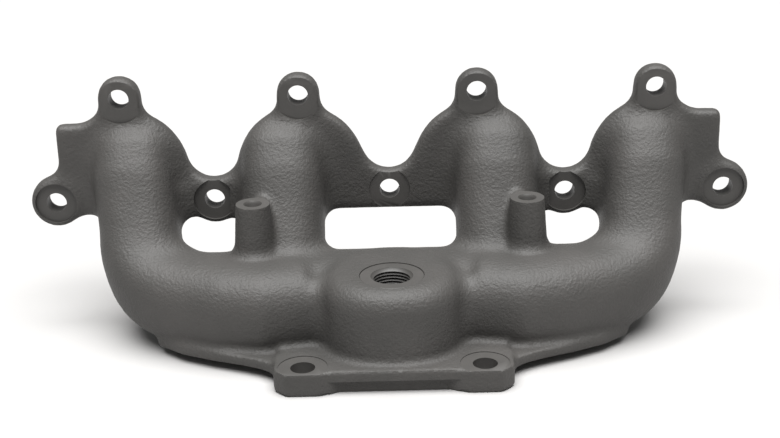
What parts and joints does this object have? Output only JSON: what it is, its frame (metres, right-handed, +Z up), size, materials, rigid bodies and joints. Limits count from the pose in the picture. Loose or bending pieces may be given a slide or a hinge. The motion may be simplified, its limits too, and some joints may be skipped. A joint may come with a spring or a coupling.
{
  "type": "exhaust manifold",
  "caption": "Cast-iron exhaust manifold: a scalloped head flange, short runners bent down into one collector, an oxygen sensor boss, heat shield bosses and a bolted outlet flange.",
  "frame": {"origin": "centre of the gas outlet on the outlet flange's gasket face", "axes": "+X along the cylinder head, +Y from the outlet towards the head, +Z up, away from the outlet face"},
  "size_m": [0.3448, 0.1027, 0.1193],
  "materials": {
    "cast_skin": "sand-cast, dry and matte",
    "sensor_boss_machined": "machined, then dulled"
  },
  "bodies": {
    "root": {"head_flange": "cast_skin", "runner_1": "cast_skin", "runner_2": "cast_skin", "runner_3": "cast_skin", "runner_4": "cast_skin", "collector": "cast_skin", "outlet_flange": "cast_skin", "oxygen_sensor_boss": "sensor_boss_machined", "heat_shield_boss_left": "cast_skin", "heat_shield_boss_right": "cast_skin", "side_rib_left": "cast_skin", "side_rib_right": "cast_skin"}
  },
  "joints": []
}
